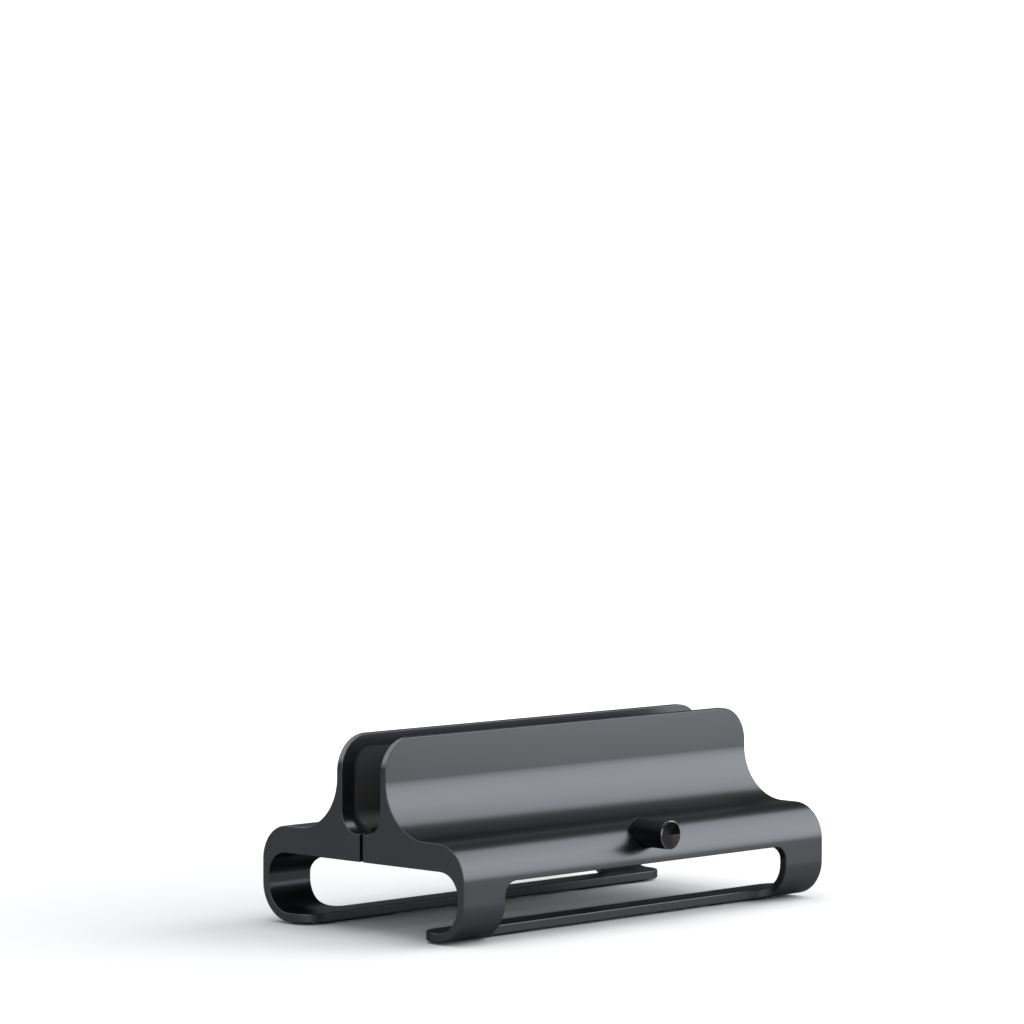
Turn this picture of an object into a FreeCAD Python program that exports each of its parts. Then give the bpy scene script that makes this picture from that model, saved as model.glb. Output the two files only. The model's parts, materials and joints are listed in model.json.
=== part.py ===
"""Adjustable vertical laptop stand: two mirrored aluminium halves drawn together by a lead screw.

Each half is modelled with X along the stand, Y outward from the seam between the halves and Z up
from the surface that the stand stands on. The front half is the rear half turned round. The row
frame has +X to the right seen from the knob, +Z up, and its origin under the middle of the
whole outline, knob included.
"""
import FreeCAD, Part
import math
import os
import Sketcher

doc = FreeCAD.newDocument("laptop_stand")

# Driving dimensions, in millimetres.
DIMENSIONS = {
    # the S-profile of a half
    "stand_length": 175.8,
    "half_depth": 47.7,
    "seam_gap": 1.45,
    "slot_half_width": 9.0,
    "wall_thickness": 2.6,
    "wall_top": 64.8,
    "slot_floor": 32.9,
    "block_underside": 23.7,
    "leg_thickness": 3.0,
    "foot_underside": 0.8,
    "foot_edge": 25.8,
    "slot_curve": 7.0,
    "upright_curve": 18.0,
    "shoulder_curve": 12.0,
    "heel_curve": 12.5,
    "underside_curve": 8.0,
    "upright_corner": 12.0,
    "foot_corner": 8.0,
    "edge_break": 0.3,
    # the opening in each leg
    "window_length": 137.4,
    "window_top": 19.8,
    "window_corner": 5.0,
    "rail_depth": 10.1,
    "rail_corner": 7.4,
    # silicone liners and foot pads
    "liner_inset": 5.9,
    "liner_top": 60.2,
    "liner_wall": 1.25,
    "liner_floor": 1.6,
    "liner_edge": 1.2,
    "liner_curve": 5.6,
    "liner_corner": 6.1,
    "pad_spacing": 124.0,
    "pad_length": 36.0,
    "pad_width": 6.4,
    "pad_recess": 1.0,
    "pad_gap": 0.15,
    "round_end_flat": 0.01,
    # knob and lead screw
    "screw_height": 30.0,
    "screw_radius": 2.0,
    "running_clearance": 0.05,
    "knob_radius": 4.8,
    "knob_start": 42.05,
    "knob_end": 57.0,
    "knob_bevel": 0.4,
    "knob_dish": 0.3,
    "rod_bevel": 0.4,
    "knob_bore_depth": 10.0,
    "knob_pocket_radius": 5.2,
    "knob_pocket_floor": 41.5,
    "washer_thickness": 0.5,
    "washer_radius": 4.6,
    "setscrew_radius": 1.25,
    "setscrew_start": 2.1,
    "setscrew_end": 4.6,
    "setscrew_place": 46.0,
    "screw_front_end": 51.8,
    "screw_rear_end": 31.6,
    "screw_bore_depth": 34.1,
    # clip that keeps the lead screw in the front half
    "clip_pocket_start": 14.0,
    "clip_pocket_end": 19.0,
    "clip_pocket_top": 34.2,
    "pocket_half_width": 5.1,
    "clip_thickness": 0.6,
    "clip_radius": 3.5,
    "clip_mouth": 2.6,
    "clip_end_play": 0.05,
    "groove_radius": 1.6,
    "retaining_washer_radius": 3.9,
    # travelling nut in the rear half
    "nut_start": 7.0,
    "nut_length": 8.0,
    "nut_half_width": 5.0,
    "nut_bottom": 25.0,
    "nut_top": 33.2,
    "nut_clearance": 0.1,
    # guide rods and their bushes
    "rod_spacing": 120.0,
    "rod_height": 28.3,
    "rod_radius": 2.5,
    "rod_rear_depth": 24.7,
    "rod_front_reach": 27.0,
    "rod_bore_depth": 29.5,
    "rod_bore_radius": 2.8,
    "bush_radius": 3.5,
    "bush_start": 0.925,
    "bush_depth": 12.9,
    # cover plates under the blocks
    "plate_half_width": 14.0,
    "plate_start": 5.0,
    "plate_end": 23.0,
    "plate_thickness": 1.2,
    "plate_corner": 2.0,
    "plate_gap": 0.1,
    "plate_screw_spacing": 21.0,
    "plate_screw_radius": 1.25,
    "plate_screw_head": 2.3,
    "plate_screw_head_depth": 1.05,
    "plate_screw_length": 5.5,
    "plate_screw_clearance": 0.05,
    "plate_screw_hole": 6.0,
    "hex_flats": 1.5,
    "hex_depth": 0.7,
}

sheet = doc.addObject("Spreadsheet::Sheet", "dims")
for row, (alias, size) in enumerate(DIMENSIONS.items(), 1):
    sheet.set(f"A{row}", alias)
    sheet.set(f"B{row}", str(size))
    sheet.setAlias(f"B{row}", alias)
doc.recompute()

# Lengths worked out from the sheet, as expressions.
HALF_LENGTH = "dims.stand_length / 2"
SEAM = "dims.seam_gap / 2"
WALL_OUTER = "dims.slot_half_width + dims.wall_thickness"
LEG_INNER = "dims.half_depth - dims.leg_thickness"
FOOT_TOP = "dims.foot_underside + dims.leg_thickness"
HALF_WINDOW = "dims.window_length / 2"
RAIL_OUTER = "dims.foot_edge + dims.rail_depth"
LEG_CUT_START = f"{RAIL_OUTER} + dims.rail_corner"
RUNNING_BORE = "dims.screw_radius + dims.running_clearance"
LOOSE_BORE = "dims.screw_radius + 2 * dims.running_clearance"
NUT_END = "dims.nut_start + dims.nut_length"
PLATE_TOP = "dims.block_underside + dims.plate_thickness"
PLATE_MIDDLE = "(dims.plate_start + dims.plate_end) / 2"
CLIP_WASHER_START = "dims.clip_pocket_end - dims.washer_thickness"
CLIP_START = f"{CLIP_WASHER_START} - dims.clip_end_play - dims.clip_thickness"

OVERSIZE = 10.0
SHARP_ANGLE = math.radians(25)
SAME_PLACE = 1e-4
BOX_SLACK = 0.01


def length(expression):
    """The value of an expression over the sheet."""
    return float(sheet.evalExpression(str(expression)))


SLOT_MIDDLE_Y = (length("dims.knob_end") - length("dims.half_depth")) / 2
REAR = FreeCAD.Placement(FreeCAD.Vector(0, SLOT_MIDDLE_Y, 0), FreeCAD.Rotation())
FRONT = FreeCAD.Placement(REAR.Base, FreeCAD.Rotation(FreeCAD.Vector(0, 0, 1), 180))


def raised(placement, height, across=0.0):
    """The same placement, for a piece whose own Y axis lies at this height and this place in X."""
    base = placement.Base + FreeCAD.Vector(across, 0, length(height))
    return FreeCAD.Placement(base, placement.Rotation)


def new_body(label, placement):
    body = doc.addObject("PartDesign::Body", label)
    body.Label = label
    body.Placement = placement
    return body


def new_sketch(body, name, plane, offset="0"):
    """A sketch on one of the body's own origin planes, moved along the plane's normal."""
    sketch = body.newObject("Sketcher::SketchObject", name)
    origin_plane = next(item for item in body.Origin.OriginFeatures if item.Role == plane)
    sketch.AttachmentSupport = [(origin_plane, "")]
    sketch.MapMode = "FlatFace"
    sketch.setExpression("AttachmentOffset.Base.z", str(offset))
    return sketch


def bind(sketch, kind, arguments, expression):
    """Adds a dimension to a sketch and ties it to the sheet."""
    index = sketch.addConstraint(Sketcher.Constraint(kind, *arguments, length(expression)))
    sketch.setExpression(f"Constraints[{index}]", str(expression))


def place_point(sketch, item, end, across, up):
    bind(sketch, "DistanceX", (-1, 1, item, end), across)
    bind(sketch, "DistanceY", (-1, 1, item, end), up)


def draw_outline(sketch, corners):
    """A closed outline of straight lines, its corners given as pairs of expressions."""
    points = [FreeCAD.Vector(length(across), length(up), 0) for across, up in corners]
    lines = [Part.LineSegment(a, b) for a, b in zip(points, points[1:] + points[:1])]
    first = sketch.addGeometry(lines, False)[0]
    for step, (across, up) in enumerate(corners):
        following = first + (step + 1) % len(corners)
        sketch.addConstraint(Sketcher.Constraint("Coincident", first + step, 2, following, 1))
        place_point(sketch, first + step, 1, across, up)


def draw_rectangle(sketch, left, right, bottom, top):
    draw_outline(sketch, [(left, bottom), (right, bottom), (right, top), (left, top)])


def draw_circle(sketch, across, up, radius):
    centre = FreeCAD.Vector(length(across), length(up), 0)
    circle = Part.Circle(centre, FreeCAD.Vector(0, 0, 1), length(radius))
    index = sketch.addGeometry(circle, False)
    place_point(sketch, index, 3, across, up)
    bind(sketch, "Radius", (index,), radius)


def settle(feature):
    """Recomputes the document and makes sure that a new feature worked."""
    doc.recompute()
    if "Invalid" in feature.State or "Error" in feature.State:
        raise RuntimeError(f"{feature.Name} failed: {feature.getStatusString()}")
    return feature


def add_pad(body, name, sketch, thickness):
    """Material to both sides of the sketch."""
    pad = body.newObject("PartDesign::Pad", name)
    pad.Profile = sketch
    pad.SideType = "Symmetric"
    pad.setExpression("Length", str(thickness))
    return settle(pad)


def add_cut(body, name, sketch, depth):
    """Removes material to both sides of the sketch, and makes sure that it removed some."""
    before = body.Shape.Volume
    cut = body.newObject("PartDesign::Pocket", name)
    cut.Profile = sketch
    cut.SideType = "Symmetric"
    cut.setExpression("Length", str(depth))
    settle(cut)
    if not body.Shape.Volume < before:
        raise RuntimeError(f"{name} cut nothing")
    return cut


def add_block(body, name, left, right, bottom, top, low, high):
    """A box between two heights, drawn in plan."""
    sketch = new_sketch(body, f"{name}_plan", "XY_Plane", f"({low} + {high}) / 2")
    draw_rectangle(sketch, left, right, bottom, top)
    return add_pad(body, name, sketch, f"{high} - ({low})")


def cut_block(body, name, left, right, bottom, top, low, high):
    """A rectangular pocket between two heights, drawn in plan."""
    sketch = new_sketch(body, f"{name}_plan", "XY_Plane", f"({low} + {high}) / 2")
    draw_rectangle(sketch, left, right, bottom, top)
    return add_cut(body, name, sketch, f"{high} - ({low})")


def drill(body, name, across, up, radius, start, end):
    """A round hole along Y, from one distance from the seam to another."""
    sketch = new_sketch(body, f"{name}_circle", "XZ_Plane", f"-({start} + {end}) / 2")
    draw_circle(sketch, across, up, radius)
    return add_cut(body, name, sketch, f"{end} - ({start})")


def add_turned(body, name, profile, plane="XY_Plane"):
    """A turned piece, its profile as (radius, distance) pairs, about the plane's upright axis.

    That is the body's own Y axis in the XY plane, and its Z axis in the XZ plane.
    """
    sketch = new_sketch(body, f"{name}_profile", plane)
    draw_outline(sketch, profile)
    turned = body.newObject("PartDesign::Revolution", name)
    turned.Profile = sketch
    turned.ReferenceAxis = (sketch, ["V_Axis"])
    turned.Angle = 360
    return settle(turned)


def edge_names(feature, wanted):
    return [f"Edge{i}" for i, edge in enumerate(feature.Shape.Edges, 1) if wanted(edge)]


def lies_at(edge, **place):
    """Whether both ends of an edge have the given coordinates."""
    return all(abs(getattr(vertex.Point, axis) - value) < SAME_PLACE
               for vertex in edge.Vertexes for axis, value in place.items())


def is_upright(edge):
    """Whether an edge runs straight up from its lower end."""
    ends = [vertex.Point for vertex in edge.Vertexes]
    return len(ends) == 2 and math.hypot(ends[0].x - ends[1].x, ends[0].y - ends[1].y) < SAME_PLACE


def round_edges(body, name, radius, wanted):
    """A fillet on every wanted edge of the body's latest feature."""
    previous = body.Tip
    fillet = body.newObject("PartDesign::Fillet", name)
    fillet.Base = (previous, edge_names(previous, wanted))
    fillet.setExpression("Radius", str(radius))
    return settle(fillet)


def face_normal(face, point):
    return face.normalAt(*face.Surface.parameter(point))


def is_sharp(shape, edge):
    """Whether the two faces that meet at an edge turn by more than the sharp angle."""
    faces = shape.ancestorsOfType(edge, Part.Face)
    if len(faces) != 2:
        return False
    middle = edge.valueAt((edge.FirstParameter + edge.LastParameter) / 2)
    return face_normal(faces[0], middle).getAngle(face_normal(faces[1], middle)) > SHARP_ANGLE


def break_edges(body, name, wanted=lambda edge: True):
    """A small bevel on every sharp edge that is wanted."""
    previous = body.Tip
    chamfer = body.newObject("PartDesign::Chamfer", name)
    shape = previous.Shape
    sharp = edge_names(previous, lambda edge: wanted(edge) and is_sharp(shape, edge))
    chamfer.Base = (previous, sharp)
    chamfer.setExpression("Size", "dims.edge_break")
    return settle(chamfer)


def make_profile(body):
    """The S-profile along the whole length, with its corners rounded."""
    sketch = new_sketch(body, f"{body.Name}_section", "YZ_Plane")
    draw_outline(sketch, [
        (SEAM, "dims.block_underside"),
        (SEAM, "dims.slot_floor"),
        ("dims.slot_half_width", "dims.slot_floor"),
        ("dims.slot_half_width", "dims.wall_top"),
        (WALL_OUTER, "dims.wall_top"),
        (WALL_OUTER, "dims.slot_floor"),
        ("dims.half_depth", "dims.slot_floor"),
        ("dims.half_depth", "dims.foot_underside"),
        ("dims.foot_edge", "dims.foot_underside"),
        ("dims.foot_edge", FOOT_TOP),
        (LEG_INNER, FOOT_TOP),
        (LEG_INNER, "dims.block_underside"),
    ])
    add_pad(body, f"{body.Name}_extrusion", sketch, "dims.stand_length")
    bends = [
        ("slot", "dims.slot_curve", "dims.slot_half_width", "dims.slot_floor"),
        ("upright", "dims.upright_curve", WALL_OUTER, "dims.slot_floor"),
        ("shoulder", "dims.shoulder_curve", "dims.half_depth", "dims.slot_floor"),
        ("heel", "dims.heel_curve", "dims.half_depth", "dims.foot_underside"),
        ("heel_inside", "dims.heel_curve - dims.leg_thickness", LEG_INNER, FOOT_TOP),
        ("underside", "dims.underside_curve", LEG_INNER, "dims.block_underside"),
    ]
    for bend, radius, outward, height in bends:
        place = {"y": length(outward), "z": length(height)}
        round_edges(body, f"{body.Name}_{bend}_bend", radius,
                    lambda edge, place=place: lies_at(edge, **place))


def round_corners(body):
    """Rounds the upright's top corners and the foot's inner corners."""
    end = length(HALF_LENGTH)
    top = length("dims.wall_top")
    foot = length("dims.foot_edge")
    round_edges(body, f"{body.Name}_upright_corners", "dims.upright_corner",
                lambda edge: any(lies_at(edge, x=side, z=top) for side in (-end, end)))
    round_edges(body, f"{body.Name}_foot_corners", "dims.foot_corner",
                lambda edge: any(lies_at(edge, x=side, y=foot) for side in (-end, end)))


def cut_window(body):
    """Opens the leg and its heel, and leaves a straight rail between the two ends of the foot."""
    name = body.Name
    leg_cut = new_sketch(body, f"{name}_window_face", "XZ_Plane",
                         f"-({LEG_CUT_START} + dims.half_depth + {OVERSIZE}) / 2")
    draw_rectangle(leg_cut, f"-{HALF_WINDOW}", HALF_WINDOW, f"-{OVERSIZE}", "dims.window_top")
    add_cut(body, f"{name}_window", leg_cut,
            f"dims.half_depth + {OVERSIZE} - ({LEG_CUT_START})")
    side = length(HALF_WINDOW)
    top = length("dims.window_top")
    round_edges(body, f"{name}_window_corners", "dims.window_corner",
                lambda edge: any(lies_at(edge, x=x, z=top) for x in (-side, side)))
    heel_top = "dims.foot_underside + dims.heel_curve"
    sketch = new_sketch(body, f"{name}_rail_plan", "XY_Plane", f"({heel_top} - {OVERSIZE}) / 2")
    draw_outline(sketch, [
        (f"-({HALF_WINDOW} - dims.rail_corner)", RAIL_OUTER),
        (f"{HALF_WINDOW} - dims.rail_corner", RAIL_OUTER),
        (HALF_WINDOW, LEG_CUT_START),
        (HALF_WINDOW, f"dims.half_depth + {OVERSIZE}"),
        (f"-{HALF_WINDOW}", f"dims.half_depth + {OVERSIZE}"),
        (f"-{HALF_WINDOW}", LEG_CUT_START),
    ])
    bow_rail_corners(sketch)
    add_cut(body, f"{name}_rail", sketch, f"{heel_top} + {OVERSIZE}")


def bow_rail_corners(sketch):
    """Swaps the rail outline's two slanting lines for quarter circles that end on them."""
    side = length(HALF_WINDOW)
    radius = length("dims.rail_corner")
    start = length(RAIL_OUTER)
    for index, direction in ((1, 1), (5, -1)):
        centre = FreeCAD.Vector(direction * (side - radius), start + radius, 0)
        turn = (-math.pi / 2, 0) if direction > 0 else (math.pi, math.pi * 1.5)
        circle = Part.Circle(centre, FreeCAD.Vector(0, 0, 1), radius)
        sketch.toggleConstruction(index)
        arc = sketch.addGeometry(Part.ArcOfCircle(circle, *turn), False)
        for end in (1, 2):
            sketch.addConstraint(Sketcher.Constraint("Coincident", arc, end, index, end))
        bind(sketch, "Radius", (arc,), "dims.rail_corner")


def cut_underside(body):
    """Recesses for the foot pads and the cover plate, and the plate's screw holes."""
    name = body.Name
    pad_middle = f"dims.foot_edge + {RAIL_OUTER}"
    for side, sign in (("left", "-1"), ("right", "1")):
        centre = f"{sign} * dims.pad_spacing / 2"
        half = "(dims.pad_length / 2 + dims.pad_gap)"
        wide = "(dims.pad_width / 2 + dims.pad_gap)"
        cut_block(body, f"{name}_{side}_pad_recess", f"{centre} - {half}", f"{centre} + {half}",
                  f"({pad_middle}) / 2 - {wide}", f"({pad_middle}) / 2 + {wide}",
                  f"-{OVERSIZE}", "dims.foot_underside + dims.pad_recess")
        recess_top = length("dims.foot_underside + dims.pad_recess")
        round_edges(body, f"{name}_{side}_pad_recess_ends", f"{wide} - dims.round_end_flat",
                    lambda edge: is_recess_corner(edge, length(centre), recess_top))
    edge = "(dims.plate_half_width + dims.plate_gap)"
    cut_block(body, f"{name}_plate_recess", f"-{edge}", edge,
              "dims.plate_start - dims.plate_gap", "dims.plate_end + dims.plate_gap",
              f"dims.block_underside - {OVERSIZE / 2}", PLATE_TOP)
    drill_plate_holes(body)


def is_recess_corner(edge, centre, top):
    """Whether an edge is one of a foot pad recess's four upright corners."""
    if not is_upright(edge):
        return False
    ends = [vertex.Point for vertex in edge.Vertexes]
    reach = length("dims.pad_length / 2 + dims.pad_gap")
    at_end = abs(abs(ends[0].x - centre) - reach) < SAME_PLACE
    return at_end and max(point.z for point in ends) < top + SAME_PLACE


def drill_plate_holes(body):
    """The two blind holes for the cover plate's screws."""
    depth_top = f"{PLATE_TOP} + dims.plate_screw_hole"
    sketch = new_sketch(body, f"{body.Name}_plate_hole_plan", "XY_Plane",
                        f"({PLATE_TOP} + {depth_top}) / 2")
    for sign in ("-1", "1"):
        draw_circle(sketch, f"{sign} * dims.plate_screw_spacing / 2", PLATE_MIDDLE,
                    "dims.plate_screw_radius")
    add_cut(body, f"{body.Name}_plate_holes", sketch, "dims.plate_screw_hole")


def is_window_edge(edge):
    """Whether an edge is part of the opening's outline, outside, inside or along the rail."""
    box = edge.BoundBox
    side = length(HALF_WINDOW) + BOX_SLACK
    past_rail = box.YMin > length(RAIL_OUTER) - BOX_SLACK
    below_top = box.ZMax < length("dims.window_top") + BOX_SLACK
    return box.XMin > -side and box.XMax < side and past_rail and below_top


def make_half(label, placement):
    """What both halves share."""
    body = new_body(label, placement)
    make_profile(body)
    round_corners(body)
    break_edges(body, f"{label}_edge_break")
    cut_window(body)
    break_edges(body, f"{label}_window_edge_break", is_window_edge)
    cut_underside(body)
    return body


def make_front_cradle():
    body = make_half("front_cradle", FRONT)
    height = "dims.screw_height"
    drill(body, "knob_pocket", "0", height, "dims.knob_pocket_radius",
          "dims.knob_pocket_floor", f"dims.half_depth + {OVERSIZE}")
    drill(body, "front_screw_bore", "0", height, RUNNING_BORE, f"-{OVERSIZE}", "dims.half_depth")
    cut_block(body, "clip_pocket", "-dims.pocket_half_width", "dims.pocket_half_width",
              "dims.clip_pocket_start", "dims.clip_pocket_end",
              "dims.block_underside", "dims.clip_pocket_top")
    for side, sign in (("left", "-1"), ("right", "1")):
        across = f"{sign} * dims.rod_spacing / 2"
        drill(body, f"{side}_bush_bore", across, "dims.rod_height", "dims.bush_radius",
              f"-{OVERSIZE}", "dims.bush_depth")
        drill(body, f"{side}_rod_bore", across, "dims.rod_height", "dims.rod_bore_radius",
              f"-{OVERSIZE}", "dims.rod_bore_depth")
    return body


def make_rear_cradle():
    body = make_half("rear_cradle", REAR)
    drill(body, "rear_screw_bore", "0", "dims.screw_height", LOOSE_BORE,
          f"-{OVERSIZE}", "dims.screw_bore_depth")
    side = "(dims.nut_half_width + dims.nut_clearance)"
    cut_block(body, "nut_pocket", f"-{side}", side, "dims.nut_start - dims.nut_clearance",
              f"{NUT_END} + dims.nut_clearance", "dims.block_underside",
              "dims.nut_top + dims.nut_clearance")
    for side, sign in (("left", "-1"), ("right", "1")):
        drill(body, f"{side}_rod_socket", f"{sign} * dims.rod_spacing / 2", "dims.rod_height",
              "dims.rod_radius", f"-{OVERSIZE}", "dims.rod_rear_depth")
    return body


def make_liner(label, placement):
    """The silicone liner of half the slot: floor, corner and wall in one moulding."""
    body = new_body(label, placement)
    floor_top = "dims.slot_floor + dims.liner_floor"
    wall_face = "dims.slot_half_width - dims.liner_wall"
    sketch = new_sketch(body, f"{label}_section", "YZ_Plane")
    draw_outline(sketch, [
        ("dims.liner_edge", "dims.slot_floor"),
        ("dims.slot_half_width", "dims.slot_floor"),
        ("dims.slot_half_width", "dims.liner_top"),
        (wall_face, "dims.liner_top"),
        (wall_face, floor_top),
        ("dims.liner_edge", floor_top),
    ])
    add_pad(body, f"{label}_moulding", sketch, "dims.stand_length - 2 * dims.liner_inset")
    outer = {"y": length("dims.slot_half_width"), "z": length("dims.slot_floor")}
    inner = {"y": length(wall_face), "z": length(floor_top)}
    end = length("dims.stand_length / 2 - dims.liner_inset")
    top = length("dims.liner_top")
    round_edges(body, f"{label}_back_curve", "dims.slot_curve",
                lambda edge: lies_at(edge, **outer))
    round_edges(body, f"{label}_front_curve", "dims.liner_curve",
                lambda edge: lies_at(edge, **inner))
    round_edges(body, f"{label}_top_corners", "dims.liner_corner",
                lambda edge: any(lies_at(edge, x=side, z=top) for side in (-end, end)))
    return body


def make_foot_pad(label, placement, sign):
    """A silicone strip with round ends, let into the underside of a foot."""
    body = new_body(label, placement)
    centre = f"{sign} * dims.pad_spacing / 2"
    middle = f"(dims.foot_edge + {RAIL_OUTER}) / 2"
    add_block(body, f"{label}_strip", f"{centre} - dims.pad_length / 2",
              f"{centre} + dims.pad_length / 2", f"{middle} - dims.pad_width / 2",
              f"{middle} + dims.pad_width / 2", "0", "dims.foot_underside + dims.pad_recess")
    round_edges(body, f"{label}_ends", "dims.pad_width / 2 - dims.round_end_flat", is_upright)
    return body


def make_knob():
    """The knob, blind bored for the screw, its end face slightly dished."""
    body = new_body("knob", raised(FRONT, "dims.screw_height"))
    bore_end = "dims.knob_start + dims.knob_bore_depth"
    rim = "dims.knob_radius - dims.knob_bevel"
    add_turned(body, "knob_turning", [
        ("dims.screw_radius", "dims.knob_start"),
        ("dims.knob_radius - dims.knob_bevel / 2", "dims.knob_start"),
        ("dims.knob_radius", "dims.knob_start + dims.knob_bevel / 2"),
        ("dims.knob_radius", "dims.knob_end - dims.knob_bevel"),
        (rim, "dims.knob_end"),
        ("0", "dims.knob_end - dims.knob_dish"),
        ("0", bore_end),
        ("dims.screw_radius", bore_end),
    ])
    sketch = new_sketch(body, "setscrew_hole_plan", "XY_Plane", "-dims.knob_radius / 2")
    draw_circle(sketch, "0", "dims.setscrew_place", "dims.setscrew_radius")
    add_cut(body, "setscrew_hole", sketch, "dims.knob_radius")
    return body


def cut_hex(body, name, across, along, plane_offset, depth):
    """A hexagon socket, drawn in plan."""
    corner = "dims.hex_flats / sqrt(3)"
    corners = [(f"{across} + {corner} * cos({turn} deg)", f"{along} + {corner} * sin({turn} deg)")
               for turn in range(0, 360, 60)]
    sketch = new_sketch(body, f"{name}_hexagon", "XY_Plane", plane_offset)
    draw_outline(sketch, corners)
    return add_cut(body, name, sketch, depth)


def make_knob_set_screw():
    """A headless screw from below, its hexagon socket outward."""
    body = new_body("knob_set_screw", raised(FRONT, "dims.screw_height"))
    sketch = new_sketch(body, "setscrew_plan", "XY_Plane",
                        "-(dims.setscrew_start + dims.setscrew_end) / 2")
    draw_circle(sketch, "0", "dims.setscrew_place", "dims.setscrew_radius")
    add_pad(body, "setscrew_rod", sketch, "dims.setscrew_end - dims.setscrew_start")
    cut_hex(body, "setscrew_socket", "0", "dims.setscrew_place", "-dims.setscrew_end",
            "2 * dims.hex_depth")
    return body


def make_lead_screw():
    """The spindle, with a groove for its retaining clip."""
    body = new_body("lead_screw", raised(FRONT, "dims.screw_height"))
    groove_start = f"{CLIP_START} - dims.clip_end_play"
    tip = "dims.screw_radius - dims.rod_bevel"
    add_turned(body, "spindle", [
        ("0", "-dims.screw_rear_end"),
        (tip, "-dims.screw_rear_end"),
        ("dims.screw_radius", "-dims.screw_rear_end + dims.rod_bevel"),
        ("dims.screw_radius", groove_start),
        ("dims.groove_radius", groove_start),
        ("dims.groove_radius", CLIP_WASHER_START),
        ("dims.screw_radius", CLIP_WASHER_START),
        ("dims.screw_radius", "dims.screw_front_end"),
        ("0", "dims.screw_front_end"),
    ])
    return body


def make_ring(label, placement, inner, outer, start, end):
    """A plain ring about the screw's or a rod's axis."""
    body = new_body(label, placement)
    add_turned(body, f"{label}_ring", [(inner, start), (outer, start), (outer, end), (inner, end)])
    return body


def make_retaining_clip():
    """A spring-steel clip, open on one side so that it pushes on from below."""
    place = raised(FRONT, "dims.screw_height")
    body = make_ring("retaining_clip", place, "dims.groove_radius", "dims.clip_radius",
                     CLIP_START, f"{CLIP_START} + dims.clip_thickness")
    cut_block(body, "clip_mouth", "-dims.clip_mouth / 2", "dims.clip_mouth / 2",
              f"{CLIP_START} - {OVERSIZE}", f"{CLIP_START} + {OVERSIZE}", f"-{OVERSIZE}", "0")
    return body


def make_travel_nut():
    body = new_body("travel_nut", REAR)
    add_block(body, "nut_block", "-dims.nut_half_width", "dims.nut_half_width",
              "dims.nut_start", NUT_END, "dims.nut_bottom", "dims.nut_top")
    drill(body, "nut_thread", "0", "dims.screw_height", RUNNING_BORE, "0", f"{NUT_END} + {OVERSIZE}")
    return body


def make_guide_rod(label, across):
    """A ground rod, pressed into the rear half, with its ends bevelled."""
    body = new_body(label, raised(REAR, "dims.rod_height", across))
    end = "dims.rod_radius - dims.rod_bevel"
    add_turned(body, f"{label}_turning", [
        ("0", "-dims.rod_front_reach"),
        (end, "-dims.rod_front_reach"),
        ("dims.rod_radius", "-dims.rod_front_reach + dims.rod_bevel"),
        ("dims.rod_radius", "dims.rod_rear_depth - dims.rod_bevel"),
        (end, "dims.rod_rear_depth"),
        ("0", "dims.rod_rear_depth"),
    ])
    return body


def make_cover_plate(label, placement):
    """A thin plate under the block, countersunk for two screws."""
    body = new_body(label, placement)
    add_block(body, f"{label}_sheet", "-dims.plate_half_width", "dims.plate_half_width",
              "dims.plate_start", "dims.plate_end", "dims.block_underside", PLATE_TOP)
    round_edges(body, f"{label}_corners", "dims.plate_corner", is_upright)
    for side, sign in (("left", "-1"), ("right", "1")):
        cut_countersink(body, f"{label}_{side}_hole", f"{sign} * dims.plate_screw_spacing / 2")
    return body


def cut_countersink(body, name, centre):
    """A countersunk hole up through a cover plate, turned about the last line of its outline."""
    sketch = new_sketch(body, f"{name}_section", "XZ_Plane", f"-({PLATE_MIDDLE})")
    head = f"{centre} + dims.plate_screw_head + dims.plate_screw_clearance"
    neck = f"{centre} + dims.plate_screw_radius + dims.plate_screw_clearance"
    draw_outline(sketch, [
        (centre, f"dims.block_underside - {OVERSIZE}"),
        (head, f"dims.block_underside - {OVERSIZE}"),
        (head, "dims.block_underside"),
        (neck, "dims.block_underside + dims.plate_screw_head_depth"),
        (neck, f"{PLATE_TOP} + {OVERSIZE}"),
        (centre, f"{PLATE_TOP} + {OVERSIZE}"),
    ])
    before = body.Shape.Volume
    groove = body.newObject("PartDesign::Groove", name)
    groove.Profile = sketch
    groove.ReferenceAxis = (sketch, ["Edge6"])
    groove.Angle = 360
    settle(groove)
    if not body.Shape.Volume < before:
        raise RuntimeError(f"{name} cut nothing")
    return groove


def make_cover_screws(label, placement):
    """Two countersunk screws with hexagon sockets."""
    body = new_body(f"{label}_pattern", FreeCAD.Placement())
    bottom = "dims.block_underside"
    top = f"{PLATE_TOP} + dims.plate_screw_length"
    add_turned(body, f"{label}_turning", [
        ("0", bottom),
        ("dims.plate_screw_head", bottom),
        ("dims.plate_screw_radius", f"{bottom} + dims.plate_screw_head_depth"),
        ("dims.plate_screw_radius", top),
        ("0", top),
    ], "XZ_Plane")
    cut_hex(body, f"{label}_socket", "0", "0", bottom, "2 * dims.hex_depth")
    half = length("dims.plate_screw_spacing / 2")
    copies = []
    for side, sign in (("left", -1), ("right", 1)):
        copy = doc.addObject("Part::Feature", f"{label}_{side}")
        copy.Shape = body.Shape
        across = FreeCAD.Vector(sign * half, length(PLATE_MIDDLE), 0)
        copy.Placement = FreeCAD.Placement(across, FreeCAD.Rotation())
        copies.append(copy)
    pair = doc.addObject("Part::Compound", label)
    pair.Label = label
    pair.Links = copies
    pair.Placement = placement
    doc.recompute()
    return pair


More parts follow.
